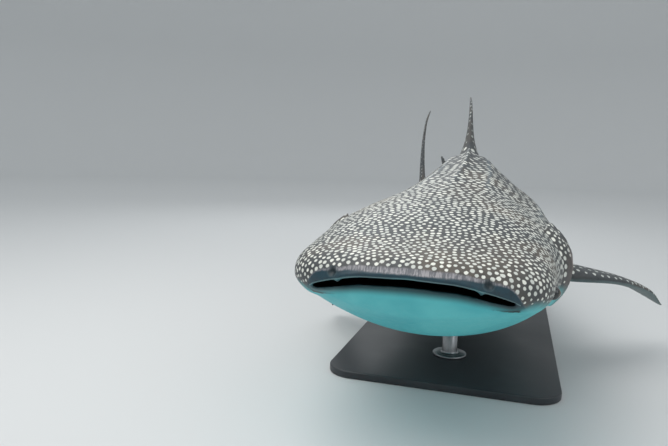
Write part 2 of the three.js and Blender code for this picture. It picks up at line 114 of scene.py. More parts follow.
# Studio: the floor is flat to a radius, bends up and ends at a rim
STUDIO = {"flat": 20, "bend": 6, "rim": 14, "sides": 96, "below_base": 0.0005, "world_strength": 0.85}
# Rows of (name, place, point it is aimed at, size, watts, colour)
LIGHTS = [
    ("key", (-2.2, -3.6, 5.6), (0.0, -1.4, 0.9), 4.5, 190, (1.0, 0.98, 0.95)),
    ("fill", (5.0, -4.5, 3.2), (0.0, -1.2, 0.8), 4.0, 50, (0.95, 0.98, 1.0)),
    ("rear", (-3.0, 5.0, 5.5), (0.0, 0.6, 1.0), 4.0, 80, (0.97, 0.99, 1.0)),
]

# The camera, found from where the mouth, eyes, fins and outline fall in the photo
CAMERA = {"azimuth": 9.59, "distance": 2.047, "height": 0.477, "yaw": 16.7, "pitch": 6.68, "roll": 1.78,
          "focal_px": 600, "image_width": 668, "sensor_mm": 36, "sees_to": 100}


def smooth_curve(rows):
    """A smooth curve through rows of (t, value) that never overshoots them."""
    t, v = np.array(rows, float).T
    step = np.diff(t)
    slope = np.diff(v) / step
    tangent = np.zeros_like(t)
    tangent[0], tangent[-1] = slope[0], slope[-1]
    for i in range(1, len(t) - 1):
        if slope[i - 1] * slope[i] > 0:
            a = 2 * step[i] + step[i - 1]
            b = step[i] + 2 * step[i - 1]
            tangent[i] = (a + b) / (a / slope[i - 1] + b / slope[i])

    def at(x):
        x = np.asarray(x, float)
        i = np.clip(np.searchsorted(t, x) - 1, 0, len(step) - 1)
        u = np.clip((x - t[i]) / step[i], 0, 1)
        start = (2 * u**3 - 3 * u**2 + 1) * v[i] + (u**3 - 2 * u**2 + u) * step[i] * tangent[i]
        end = (3 * u**2 - 2 * u**3) * v[i + 1] + (u**3 - u**2) * step[i] * tangent[i + 1]
        return start + end

    return at


def rounded_end(s, length, power):
    """0 at the front of a rounded end, and 1 from its full length on."""
    t = np.clip(s / length, 0, 1)
    return (1 - (1 - t) ** power) ** (1 / power)


def ease(t):
    t = np.clip(t, 0, 1)
    return t * t * (3 - 2 * t)


half_width, rise, drop = smooth_curve(HALF_WIDTH), smooth_curve(RISE), smooth_curve(DROP)
middle = smooth_curve(MIDDLE)
back_squareness, belly_squareness = smooth_curve(BACK_SQUARENESS), smooth_curve(BELLY_SQUARENESS)
heading = smooth_curve(HEADING)
upper_lip_curve, mouth_open_curve = smooth_curve(UPPER_LIP), smooth_curve(MOUTH_OPEN)
cheek_curve = smooth_curve(CHEEK)
ridges = [(angle, smooth_curve(rows)) for angle, rows in RIDGES]


def upper_lip(x):
    return upper_lip_curve(np.minimum(MOUTH["half"], np.abs(x)))


def lower_lip(x):
    return upper_lip(x) - mouth_open_curve(np.minimum(MOUTH["half"], np.abs(x)))


def jaw_share(s, x, z):
    """0 on the head, and 1 on the front of the lower jaw, which sits further back."""
    parting = (upper_lip(x) + lower_lip(x)) / 2 + cheek_curve(np.abs(x))
    across = ease((np.abs(x) - JAW_BLEND["from_x"]) / JAW_BLEND["over_x"])
    reach = JAW_BLEND["middle"] + JAW_BLEND["corner"] * across
    return ease((parting - z) / reach) * ease((JAW_BLEND["end"] - s) / JAW_BLEND["over_s"])


class Swim:
    """The curve that the fish swims along, and the way to and from the straight fish."""

    STEP = 0.01
    ROUNDS = 6
    s = np.arange(HEADING[0][0], HEADING[-1][0] + STEP / 2, STEP)
    turn = np.radians(heading(s[:-1] + STEP / 2))
    x = np.concatenate([[0], np.cumsum(-np.sin(turn) * STEP)])
    y = np.concatenate([[0], np.cumsum(np.cos(turn) * STEP)]) + s[0]
    offset = np.zeros(3)

    @classmethod
    def place(cls, s, x, z):
        s, x, z = np.broadcast_arrays(np.asarray(s, float), x, z)
        angle = np.radians(heading(s))
        px = np.interp(s, cls.s, cls.x) + x * np.cos(angle)
        py = np.interp(s, cls.s, cls.y) + x * np.sin(angle)
        return np.stack([px, py, z], -1) + cls.offset

    @classmethod
    def straighten(cls, points):
        p = points - cls.offset
        s = np.interp(p[:, 1], cls.y, cls.s)
        for _ in range(cls.ROUNDS):
            angle = np.radians(heading(s))
            dx = p[:, 0] - np.interp(s, cls.s, cls.x)
            dy = p[:, 1] - np.interp(s, cls.s, cls.y)
            s = np.clip(s + (-dx * np.sin(angle) + dy * np.cos(angle)), cls.s[0], cls.s[-1])
        angle = np.radians(heading(s))
        dx = p[:, 0] - np.interp(s, cls.s, cls.x)
        dy = p[:, 1] - np.interp(s, cls.s, cls.y)
        return s, dx * np.cos(angle) + dy * np.sin(angle), p[:, 2]


low, high = (np.array(corner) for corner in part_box("stand_base"))
base_centre = (low + high) / 2
Swim.offset = np.array([*base_centre[:2], low[2]]) - Swim.place(BASE["s"], 0, FLOOR_Z)


def section(s):
    """The body's cross-section at s: half width, height above and depth below its middle."""
    return (half_width(s) * rounded_end(s, *SNOUT["sides"]), rise(s) * rounded_end(s, *SNOUT["top"]),
            drop(s) * rounded_end(s, *SNOUT["chin"]))


def section_point(s, degrees):
    """A point of the cross-section as x, z. 0 degrees is the left side, 90 the back."""
    width, up, down = section(s)
    angle = np.radians(degrees)
    c, n = np.cos(angle), np.sin(angle)
    above = n >= 0
    power = 2 / np.where(above, back_squareness(s), belly_squareness(s))
    folded = np.where(c >= 0, degrees, 180 - degrees)
    level = np.where(folded > 180, folded - 360, folded)
    bump = sum(np.maximum(0, at(s)) * np.exp(-0.5 * ((level - a) / RIDGE_SPREAD) ** 2) for a, at in ridges)
    x = width * np.sign(c) * np.abs(c) ** power + bump * c
    z = middle(s) + np.where(above, up, down) * np.sign(n) * np.abs(n) ** power + bump * n
    return x, z


def front_station(x, z):
    """The first station where the body, seen from the front, covers the point x, z."""
    s = np.arange(FRONT_STEP, SNOUT["sides"][0], FRONT_STEP)
    width, up, down = section(s)
    above = z >= middle(s)
    power = np.where(above, back_squareness(s), belly_squareness(s))
    height = np.abs(z - middle(s)) / np.where(above, up, down)
    inside = np.abs(x / width) ** power + height**power <= 1
    return s[np.argmax(inside)] if inside.any() else SNOUT["sides"][0]


def new_mesh(name, points, faces):
    mesh = bpy.data.meshes.new(name)
    mesh.from_pydata(np.asarray(points, float).tolist(), [], faces)
    mesh.update()
    obj = bpy.data.objects.new(name, mesh)
    bpy.context.scene.collection.objects.link(obj)
    return obj


def loft(name, rings):
    """A closed mesh through rings of equal length, shut at each end."""
    rings = np.asarray(rings, float)
    rows, size = rings.shape[:2]
    a = (np.arange(rows - 1)[:, None] * size + np.arange(size)[None, :]).ravel()
    b = (np.arange(rows - 1)[:, None] * size + (np.arange(size)[None, :] + 1) % size).ravel()
    quads = np.stack([a, b, b + size, a + size], 1).tolist()
    ends = [list(range(size))[::-1], list(range((rows - 1) * size, rows * size))]
    obj = new_mesh(name, rings.reshape(-1, 3), quads + ends)
    p = rings.reshape(-1, 3)
    tri = np.array(quads)[:, :3]
    volume = np.einsum("ij,ij->i", p[tri[:, 0]], np.cross(p[tri[:, 1]], p[tri[:, 2]])).sum()
    if volume < 0:
        obj.data.flip_normals()
    return obj


def ball(name, centre, radius, around=32):
    rings = []
    for t in np.linspace(0.02, 0.98, around // 2):
        turn = np.linspace(0, 2 * np.pi, around, endpoint=False)
        flat = radius * math.sin(math.pi * t)
        rings.append(np.stack([flat * np.cos(turn), flat * np.sin(turn),
                               np.full(around, -radius * math.cos(math.pi * t))], 1) + centre)
    return loft(name, rings)


def body_solid(name, stations):
    degrees = np.arange(RING_POINTS) * 360 / RING_POINTS
    return loft(name, [Swim.place(s, *section_point(s, degrees)) for s in stations])


def mouth_room():
    """The room that is cut out between the lips, open ahead of the snout."""
    rings = []
    for t in np.linspace(0, 1, 81):
        x = MOUTH["half"] * math.sin((t - 0.5) * math.pi)
        depth = 0.02 + MOUTH["inner"] * math.sqrt(max(0, 1 - (x / (MOUTH["half"] + 0.005)) ** 2))
        front = front_station(x, upper_lip(x))
        share = float(mouth_open_curve(abs(x)) / mouth_open_curve(0))
        walls = [(front + part * depth, up, below) for part, up, below in MOUTH_ROOM]
        outline = [(AHEAD_OF_SNOUT, 0, 0), *walls, (AHEAD_OF_SNOUT, 0, 1)]
        rings.append([Swim.place(s, x, (lower_lip(x) if below else upper_lip(x)) + up * share)
                      for s, up, below in outline])
    return loft("mouth_room", rings)


def lip_roll(name, edge, way, radius):
    """A rounded roll along the edge of a lip, thinner towards the corners of the mouth."""
    reach = MOUTH["half"] - 0.012
    rings = []
    for t in np.linspace(0, 1, 90):
        x = reach * math.sin((t - 0.5) * math.pi * 0.98)
        size = radius * (0.3 + 0.7 * math.sqrt(max(0, 1 - (x / reach) ** 2)))
        z = float(edge(x)) + way * size * 0.85
        s = front_station(x, z) + size * 0.6
        turn = np.linspace(0, 2 * np.pi, 20, endpoint=False)
        rings.append(Swim.place(s + size * np.cos(turn), x, z + size * np.sin(turn)))
    return loft(name, rings)


def off_skin(s, degrees, lift):
    """A point that stands off the skin by lift, as x, z."""
    x, z = section_point(s, degrees)
    x2, z2 = section_point(s, degrees + 1)
    length = math.hypot(x2 - x, z2 - z)
    return x + (z2 - z) / length * lift, z - (x2 - x) / length * lift


def gill_flap(name, flap, side):
    """A flap rooted in the skin at its front edge, that stands off most near its rear edge."""
    root, low_angle, high_angle, lift = flap
    rings = []
    for t in np.linspace(0, 1, 46):
        swell = math.sin(math.pi * (0.06 + 0.88 * t)) ** 0.6
        degrees = low_angle + (high_angle - low_angle) * t
        reach = FLAP["reach"] * (0.5 + 0.5 * swell) + 0.002 * math.sin(t * 31 + root * 40)
        stand = lift * swell * (0.75 + 0.5 * t)
        start = root + FLAP["sweep"] * (2 * t - 1) ** 2
        thick = FLAP["thick"]
        outline = [(-0.08, -FLAP["sunk"]), (0.12, 0.001), (0.35, stand * 0.24 + thick * 0.7),
                   (0.6, stand * 0.5 + thick), (0.8, stand * 0.78 + thick), (0.95, stand + thick),
                   (1, stand + thick * 0.4), (0.97, stand - 0.003), (0.8, stand * 0.76 - 0.002),
                   (0.6, stand * 0.48 - 0.002), (0.45, stand * 0.2 - 0.01), (0.3, -FLAP["sunk"])]
        ring = []
        for share, height in outline:
            at = start + reach * share
            x, z = off_skin(at, degrees, height)
            ring.append(Swim.place(at, side * x, z))
        rings.append(ring)
    return loft(name, rings)


# Fins: lead and trail are rows of (t, s, x, z) from root to tip, and thickness is rows of (t, metres)
FIN_PROFILE = smooth_curve([(0, 0), (0.03, 0.42), (0.14, 0.82), (0.36, 1), (0.62, 0.72), (0.85, 0.34),
                            (1, 0.06)])
FIN_EDGE = 0.0042


def fin_solid(name, lead, trail, thickness, rows=110, around=44):
    tracks = [[smooth_curve([(row[0], row[c]) for row in track]) for c in (1, 2, 3)]
              for track in (lead, trail)]
    thick = smooth_curve(thickness)

    def at(track, t):
        return np.array([float(curve(min(1, max(0, t)))) for curve in track])

    shares = (1 - np.cos(np.linspace(0, np.pi, around // 2))) / 2
    rings = []
    for t in np.linspace(0, 1, rows):
        front = at(tracks[0], t)
        chord = at(tracks[1], t) - front
        span = sum(at(track, t + 0.02) - at(track, t - 0.02) for track in tracks)
        normal = np.cross(chord, span)
        normal /= np.linalg.norm(normal)
        edge = FIN_EDGE * np.sin(np.pi * shares) ** 0.25
        half = np.maximum(float(thick(t)) / 2 * FIN_PROFILE(shares), edge)
        upper = front + shares[:, None] * chord + half[:, None] * normal
        lower = (front + shares[:, None] * chord - half[:, None] * normal)[1:-1][::-1]
        ring = np.concatenate([upper, lower])
        rings.append(Swim.place(ring[:, 0], ring[:, 1], ring[:, 2]))
    return loft(name, rings)


def pectoral_fin(side, tuck):
    """tuck 0 spreads the fin out, and 1 holds it lower and closer in."""

    def tucked(rows):
        return [(t, s, side * x * (1 - 0.28 * tuck * t), z - 0.2 * tuck * t**1.2) for t, s, x, z in rows]

    return {
        "lead": tucked([(0, 1.235, 0.42, -0.1), (0.2, 1.33, 0.64, -0.125), (0.45, 1.49, 0.86, -0.162),
                        (0.75, 1.77, 1.09, -0.265), (1, 2.05, 1.24, -0.41)]),
        "trail": tucked([(0, 1.735, 0.42, -0.12), (0.2, 1.735, 0.625, -0.15), (0.45, 1.84, 0.8, -0.2),
                         (0.75, 1.99, 1.0, -0.29), (1, 2.1, 1.232, -0.416)]),
        "thickness": [(0, 0.124), (0.2, 0.092), (0.45, 0.058), (0.75, 0.034), (1, 0.008)],
    }


def pelvic_fin(side):
    return {
        "lead": [(0, 2.72, side * 0.19, -0.27), (0.35, 2.8, side * 0.3, -0.362),
                 (1, 3.03, side * 0.425, -0.48)],
        "trail": [(0, 2.99, side * 0.18, -0.262), (0.35, 2.99, side * 0.28, -0.346),
                  (1, 3.066, side * 0.415, -0.478)],
        "thickness": [(0, 0.06), (0.35, 0.036), (1, 0.007)],
    }


def median_fin(start, end, height, sweep, way, base):
    """A fin on the back (way 1) or under the tail (way -1), swept back by sweep at its tip."""
    length = end - start

    def surface(s):
        _, up, down = section(s)
        return float(middle(s) + way * (up if way > 0 else down))

    level = surface((start + end) / 2)
    up = [level + way * height * share for share in (0.06, 0.5, 0.93, 1)]
    down = [level + way * height * share for share in (0.05, 0.42, 0.84, 0.97)]
    lead_s = [start + 0.12 * length, start + 0.45 * sweep, start + 0.86 * sweep, start + sweep]
    trail_s = [end - 0.06 * length, start + 0.9 * sweep, start + 1.03 * sweep, start + 1.08 * sweep]
    at = (0.16, 0.5, 0.85, 1)
    rooted = 0.07
    lead = [(0, start - 0.06, 0, surface(start) - way * rooted)]
    lead += [(t, s, 0, z) for t, s, z in zip(at, lead_s, up)]
    trail = [(0, end, 0, surface(end) - way * rooted)]
    trail += [(t, s, 0, z) for t, s, z in zip(at, trail_s, down)]
    shares = [(0, 1.9), (0.16, 1), (0.35, 0.52), (0.6, 0.28), (1, 0.07)]
    return {"lead": lead, "trail": trail, "thickness": [(t, base * share) for t, share in shares]}


FORK = 5.195
FINS = {
    "dorsal_fin_first": median_fin(2.56, 3.23, 0.48, 0.64, 1, 0.12),
    "dorsal_fin_second": median_fin(3.9, 4.24, 0.24, 0.33, 1, 0.046),
    "anal_fin": median_fin(3.96, 4.27, 0.19, 0.31, -1, 0.04),
    "pectoral_fin_left": pectoral_fin(1, 0),
    "pectoral_fin_right": pectoral_fin(-1, 1),
    "pelvic_fin_left": pelvic_fin(1),
    "pelvic_fin_right": pelvic_fin(-1),
    "caudal_fin_upper": {
        "lead": [(0, 4.66, 0, 0.04), (0.2, 4.87, 0, 0.235), (0.5, 5.2, 0.01, 0.6), (0.8, 5.57, 0.04, 0.925),
                 (1, 5.86, 0.07, 1.05)],
        "trail": [(0, FORK, 0, 0.04), (0.2, 5.215, 0, 0.19), (0.5, 5.39, 0.01, 0.47),
                  (0.8, 5.67, 0.04, 0.845), (1, 5.892, 0.07, 1.034)],
        "thickness": [(0, 0.104), (0.2, 0.066), (0.5, 0.04), (1, 0.007)],
    },
    "caudal_fin_lower": {
        "lead": [(0, 4.7, 0, 0.08), (0.3, 4.87, 0, -0.11), (0.65, 5.06, -0.008, -0.33),
                 (1, 5.235, -0.024, -0.505)],
        "trail": [(0, FORK, 0, 0.08), (0.3, 5.17, 0, -0.06), (0.65, 5.19, -0.008, -0.275),
                  (1, 5.262, -0.024, -0.492)],
        "thickness": [(0, 0.104), (0.3, 0.056), (0.65, 0.032), (1, 0.007)],
    },
}


def apply_modifiers(obj):
    """Bakes an object's modifiers into a new mesh."""
    shown = obj.evaluated_get(bpy.context.evaluated_depsgraph_get())
    mesh = bpy.data.meshes.new_from_object(shown)
    obj.modifiers.clear()
    old = obj.data
    obj.data = mesh
    bpy.data.meshes.remove(old)


def cut(obj, cutters):
    for cutter in cutters:
        modifier = obj.modifiers.new(cutter.name, "BOOLEAN")
        modifier.operation = "DIFFERENCE"
        modifier.solver = "MANIFOLD"
        modifier.object = cutter
    bpy.context.view_layer.update()
    apply_modifiers(obj)
    for cutter in cutters:
        bpy.data.objects.remove(cutter)


def joined(name, parts):
    """One mesh object holding all of the parts."""
    points, faces, start = [], [], 0
    for part in parts:
        co = np.empty(len(part.data.vertices) * 3)
        part.data.vertices.foreach_get("co", co)
        points.append(co.reshape(-1, 3))
        faces += [[start + v for v in polygon.vertices] for polygon in part.data.polygons]
        start += len(part.data.vertices)
        bpy.data.objects.remove(part)
    return new_mesh(name, np.concatenate(points), faces)


def eye_centre(side):
    width, _, _ = section(EYE["s"])
    return Swim.place(EYE["s"], side * (width - EYE["sunk"]), EYE["z"])


def nostril_centre(side):
    z = upper_lip(NOSTRIL["x"]) + NOSTRIL["rise"]
    return Swim.place(front_station(NOSTRIL["x"], z) - 0.003, side * NOSTRIL["x"], z)


def build_skin():
    snout = SNOUT["sides"][0] * (1 - np.cos(np.linspace(0, np.pi / 2, 64)))[1:]
    rest = np.arange(SNOUT["sides"][0] + STATION_STEP, BODY_END, STATION_STEP)
    stations = np.concatenate([snout, rest, [BODY_END]])
    trunk = body_solid("trunk", stations)
    cutters = [mouth_room()]
    nubs = []
    for side in (1, -1):
        cutters.append(ball("socket", eye_centre(side), EYE["radius"] + 0.0005))
        width, _, _ = section(SPIRACLE["s"])
        cutters.append(ball("spiracle", Swim.place(SPIRACLE["s"], side * (width + 0.004), SPIRACLE["z"]),
                            SPIRACLE["radius"]))
        cutters.append(ball("nostril", nostril_centre(side), NOSTRIL["radius"]))
        z = upper_lip(NOSTRIL["barbel_x"]) - 0.001
        s = front_station(NOSTRIL["barbel_x"], z) + 0.004
        nubs.append(ball("barbel", Swim.place(s, side * NOSTRIL["barbel_x"], z), NOSTRIL["barbel"]))
    cut(trunk, cutters)
    parts = [trunk, *nubs]
    parts.append(lip_roll("upper_lip", upper_lip, 1, LIP_RADIUS["upper"]))
    parts.append(lip_roll("lower_lip", lower_lip, -1, LIP_RADIUS["lower"]))
    parts += [gill_flap("gill_flap", flap, side) for flap in GILL_FLAPS for side in (1, -1)]
    parts += [fin_solid(name, **fin) for name, fin in FINS.items()]
    skin = joined("skin", parts)
    remesh = skin.modifiers.new("one surface", "REMESH")
    remesh.mode = "VOXEL"
    remesh.voxel_size = VOXEL
    remesh.adaptivity = 0
    bpy.context.view_layer.update()
    apply_modifiers(skin)
    return skin


def coordinates(mesh):
    co = np.empty(len(mesh.vertices) * 3)
    mesh.vertices.foreach_get("co", co)
    return co.reshape(-1, 3)


def normals(mesh):
    co = np.empty(len(mesh.vertices) * 3)
    mesh.vertex_normals.foreach_get("vector", co)
    return co.reshape(-1, 3)


def edge_ends(mesh):
    ends = np.empty(len(mesh.edges) * 2, np.int64)
    mesh.edges.foreach_get("vertices", ends)
    return ends.reshape(-1, 2).T


def smoothed(values, ends, weight, rounds):
    """Values drawn towards the mean of their neighbours, by weight, some rounds over."""
    a, b = ends
    count = len(values)
    degree = np.maximum(1, np.bincount(a, minlength=count) + np.bincount(b, minlength=count))
    values = values.copy()
    for _ in range(rounds):
        for c in range(values.shape[1]):
            column = values[:, c]
            total = np.bincount(a, column[b], count) + np.bincount(b, column[a], count)
            values[:, c] = column + weight * (total / degree - column)
    return values


def add_attribute(mesh, name, values):
    layer = mesh.attributes.new(name, "FLOAT", "POINT")
    layer.data.foreach_set("value", np.asarray(values, np.float32))


# Where the pale belly begins: rows of (s, z)
PALE_EDGE = smooth_curve([(0, -0.03), (0.1, -0.03), (0.36, -0.062), (0.8, -0.09), (1.2, -0.14), (1.8, -0.18),
                          (2.6, -0.16), (3.4, -0.11), (4.1, -0.065), (4.7, -0.1), (5.3, -0.2)])
# Spots: rows of (s, metres from one to the next), and of (s, radius as a share of that)
SPACING = smooth_curve([(0, 0.0235), (0.3, 0.026), (0.8, 0.034), (1.5, 0.056), (2.4, 0.074), (4.5, 0.066),
                        (6, 0.05)])
SPOT_SHARE = smooth_curve([(0, 0.34), (0.9, 0.34), (1.4, 0.3), (2.2, 0.26), (3.0, 0.25), (6, 0.2)])
FIN_SPACING = 0.05
FIN_SHARE = 0.2
SPOTS = {"layout_seed": 11, "row_scatter": 0.5, "nearest": 0.9, "size_seed": 3, "size": (0.82, 1.14)}
# From 1.7 m back the spots stand in columns, with a broken pale bar between one column and the next
COLUMNS = {"per_metre": 6.4, "from": 1.7, "clear": 0.17}
# Where the gill flaps are. The lower part ends sooner, ahead of the root of the pectoral fin
GILLS = {"s": (0.75, 1.36), "angle": (-45, 48), "x": 0.7, "low_z": -0.06, "low_end": 1.24}


def push_jaw_back(points):
    """Sets the front of the lower jaw back from the upper lip."""
    s, x, z = Swim.straighten(points)
    return Swim.place(s + MOUTH["recess"] * jaw_share(s, x, z), x, z)


def on_the_section(s, x, z):
    """Each point's angle round the body in degrees, 0 the side and 90 the back, and how far it stands off."""
    on_body = np.clip(s, 0.002, BODY_END)
    width, up, down = section(on_body)
    above = z >= middle(on_body)
    power = np.where(above, back_squareness(on_body), belly_squareness(on_body))
    height = np.abs(z - middle(on_body)) / np.maximum(1e-4, np.where(above, up, down))
    across = np.abs(x) / np.maximum(1e-4, width)
    ratio = (across**power + height**power) ** (1 / power)
    angle = np.degrees(np.arctan2(height ** (power / 2), across ** (power / 2))) * np.where(above, 1, -1)
    radius = np.hypot(x, z - middle(on_body))
    return angle, np.where(s > BODY_END, 0.2, radius * (1 - 1 / np.maximum(ratio, 1e-3)))


def scatter_spots(points, allowed, station, spacing):
    """Indices of points that stand about their spacing apart, laid in rows from the snout back."""
    index = np.flatnonzero(allowed)
    tree = KDTree(len(index))
    for k, i in enumerate(index):
        tree.insert(points[i], k)
    tree.balance()
    scatter = np.random.default_rng(SPOTS["layout_seed"]).uniform(0, SPOTS["row_scatter"], len(index))
    jitter = scatter * spacing[index]
    free = np.ones(len(index), bool)
    chosen = []
    for k in np.argsort(station[index] + jitter, kind="stable"):
        if free[k]:
            chosen.append(index[k])
            for _, near, _ in tree.find_range(points[index[k]], SPOTS["nearest"] * spacing[index[k]]):
                free[near] = False
    return np.array(chosen)


def spot_values(points, centres, radius):
    """For each point, 1 at the middle of the nearest spot, 0 at its edge and less beyond, and its number."""
    tree = KDTree(len(centres))
    for k, i in enumerate(centres):
        tree.insert(points[i], k)
    tree.balance()
    found = [tree.find(point)[1:] for point in points]
    number, distance = (np.array(column) for column in zip(*found))
    return np.maximum(-2, 1 - distance / radius[number]), number


def paint_coordinates(skin):
    """Stores where each point of the skin lies on the fish, for the material to draw by."""
    mesh = skin.data
    points = coordinates(mesh)
    s, x, z = Swim.straighten(points)
    unit = normals(mesh)
    angle, proud = on_the_section(s, x, z)
    (front_end, rear_end), (lowest, highest) = GILLS["s"], GILLS["angle"]
    gill = (s > front_end) & (s < rear_end) & (angle > lowest) & (angle < highest)
    gill &= (np.abs(x) < GILLS["x"]) & ((z > GILLS["low_z"]) | (s < GILLS["low_end"]))
    fin = np.where(gill, 0, ease((proud - 0.035) / 0.03))
    paired = (z < 0.02) & (np.abs(x) > 0.12) & (s < 3.2)
    add_attribute(mesh, "station", s)
    add_attribute(mesh, "fin", fin)

    # How far each point lies into the pale belly, in metres
    lip = z - upper_lip(x)
    by_mouth = ease((0.2 - s) / 0.12) * ease((0.44 - np.abs(x)) / 0.05)
    edge = by_mouth * (upper_lip(x) - 0.012) + (1 - by_mouth) * PALE_EDGE(s)
    on_fin = np.where(paired, -unit[:, 2] * 0.09 - 0.045, -0.1)
    blend = np.where(gill, 0, ease((proud - 0.02) / 0.1))
    pale = (edge - z) * (1 - blend) + on_fin * blend
    add_attribute(mesh, "pale", pale)

    # The upper lip: metres above where the spots end, above its dark band, and above its thin pale edge
    width_share = np.abs(x) / MOUTH["half"]
    near = ease((0.22 - s) / 0.08) * ease((0.47 - np.abs(x)) / 0.14)
    spots_end = near * (lip - 0.037 - 0.013 * width_share**2) + (1 - near) * 0.06
    shaded_band = near * (lip - 0.018 - 0.033 * width_share**2) + (1 - near) * 0.06
    add_attribute(mesh, "rim", spots_end)
    add_attribute(mesh, "shaded_band", shaded_band)
    front = (s < 0.2) & (np.abs(x) < MOUTH["half"])
    add_attribute(mesh, "lip", np.where(front, lip - 0.0035, 0.1))

    # The lower lip's painted shadow under the overhanging upper jaw, and the inside of the mouth painted
    # near-black as painted shade
    below = lower_lip(x) - z
    # Painted shadow: the lower lip darkens just below the upper jaw, where its shade falls
    painted_shadow = ease((0.042 - below) / 0.038) * (below > -0.03) * ease((0.5 - s) / 0.1)
    painted_shadow *= ease((MOUTH["half"] + 0.03 - np.abs(x)) / 0.06) * (lip < -0.004)
    add_attribute(mesh, "painted_shadow", painted_shadow)
    # Painted shade: the inside of the mouth turns near-black further in from the lips
    room = (s < 0.5) & (np.abs(x) < MOUTH["half"]) & (lip < 0.03) & (below < 0.035)
    depth = np.where(room, s - surface_front(x) - 0.012 - MOUTH["recess"] * jaw_share(s, x, z), 0)
    inside = ease((depth - 0.012) / 0.02)
    add_attribute(mesh, "mouth", inside)
    flap = np.where(gill, ease((proud - 0.008) / 0.014), 0)
    tissue = flap * ease((16 - angle) / 9)
    add_attribute(mesh, "gill", tissue)
    add_attribute(mesh, "gill_edge", np.where(gill, ease((proud - 0.03) / 0.01) * ease((22 - angle) / 9), 0))
    # Distance to the nearer nostril, for the painted shade round and in its pit
    pit = np.full(len(s), 1.0)
    for side in (1, -1):
        pit = np.minimum(pit, np.linalg.norm(points - nostril_centre(side), axis=1))
    add_attribute(mesh, "nostril", pit)

    # The skin ridges' crests
    crest = sum(np.clip(at(s) / 0.012, 0, 1) * np.exp(-(((angle - a) / 1.5) ** 2)) for a, at in ridges)
    add_attribute(mesh, "ridge", crest * (1 - fin))

    spacing = SPACING(s) * (1 - 0.28 * flap) * (1 - fin) + FIN_SPACING * fin
    bar = np.abs((s * COLUMNS["per_metre"]) % 1 - 0.5) < COLUMNS["clear"]
    bar &= (s > COLUMNS["from"]) & (fin < 0.1)
    turn = np.radians(heading(s))
    leading = (fin > 0.3) & (unit[:, 0] * np.sin(turn) - unit[:, 1] * np.cos(turn) > 0.4)
    allowed = ~leading & (pale < -0.012) & (inside < 0.1) & (spots_end > 0.008) & (tissue < 0.4) & ~bar
    centres = scatter_spots(points, allowed, s, spacing)
    share = SPOT_SHARE(s) * (1 - fin) + FIN_SHARE * fin
    rng = np.random.default_rng(SPOTS["size_seed"])
    radius = (spacing * share)[centres] * rng.uniform(*SPOTS["size"], len(centres))
    radius *= 0.6 + 0.4 * ease((-0.01 - pale[centres]) / 0.05)
    value, number = spot_values(points, centres, radius)
    add_attribute(mesh, "spot", value)
    add_attribute(mesh, "shade", rng.uniform(0, 1, len(centres))[number])


def surface_front(x):
    """Where the front of the head lies at each distance x from its middle."""
    reach = np.linspace(0, 0.56, 141)
    front = [front_station(across, 0.02) for across in reach]
    return np.interp(np.abs(x), reach, front)


def linear(r, g, b):
    """A colour named in screen values from 0 to 255, as Blender wants it."""
    return tuple(c / 255 / 12.92 if c <= 10 else ((c / 255 + 0.055) / 1.055) ** 2.4 for c in (r, g, b)) + (1,)


class Shader:
    """Short names for the nodes of one material."""

    def __init__(self, name):
        self.material = bpy.data.materials.new(name)
        self.material.use_nodes = True
        self.tree = self.material.node_tree
        self.surface = self.tree.nodes["Principled BSDF"]

    def node(self, kind, inputs=(), **settings):
        made = self.tree.nodes.new(kind)
        for key, value in settings.items():
            setattr(made, key, value)
        for key, value in dict(inputs).items():
            self.put(made.inputs[key], value)
        return made

    def put(self, socket, value):
        if isinstance(value, bpy.types.NodeSocket):
            self.tree.links.new(value, socket)
        else:
            socket.default_value = value

    def math(self, operation, a, b=0.0):
        return self.node("ShaderNodeMath", {0: a, 1: b}, operation=operation).outputs[0]

    def ramp(self, value, low, high, to_low=0.0, to_high=1.0, smooth=True):
        kind = "SMOOTHSTEP" if smooth else "LINEAR"
        inputs = {"Value": value, "From Min": low, "From Max": high, "To Min": to_low, "To Max": to_high}
        return self.node("ShaderNodeMapRange", inputs, interpolation_type=kind).outputs[0]

    def mix(self, factor, a, b):
        made = self.node("ShaderNodeMix", data_type="RGBA")
        for socket, value in zip((made.inputs[0], made.inputs[6], made.inputs[7]), (factor, a, b)):
            self.put(socket, value)
        return made.outputs[2]

    def number(self, name):
        return self.node("ShaderNodeAttribute", attribute_name=name).outputs["Fac"]

    def noise(self, vector, scale, detail=3.0, roughness=0.5):
        made = self.node("ShaderNodeTexNoise", {"Scale": scale, "Detail": detail, "Roughness": roughness})
        self.put(made.inputs["Vector"], vector)
        return made

    def scaled(self, vector, scale):
        return self.node("ShaderNodeVectorMath", {0: vector, 1: scale}, operation="MULTIPLY").outputs[0]

    def bump(self, height, strength, distance, after=None):
        made = self.node("ShaderNodeBump", {"Height": height, "Strength": strength, "Distance": distance})
        if after is not None:
            self.put(made.inputs["Normal"], after)
        return made.outputs[0]

    def finish(self, **inputs):
        for key, value in inputs.items():
            self.put(self.surface.inputs[key.replace("_", " ")], value)
        return self.material


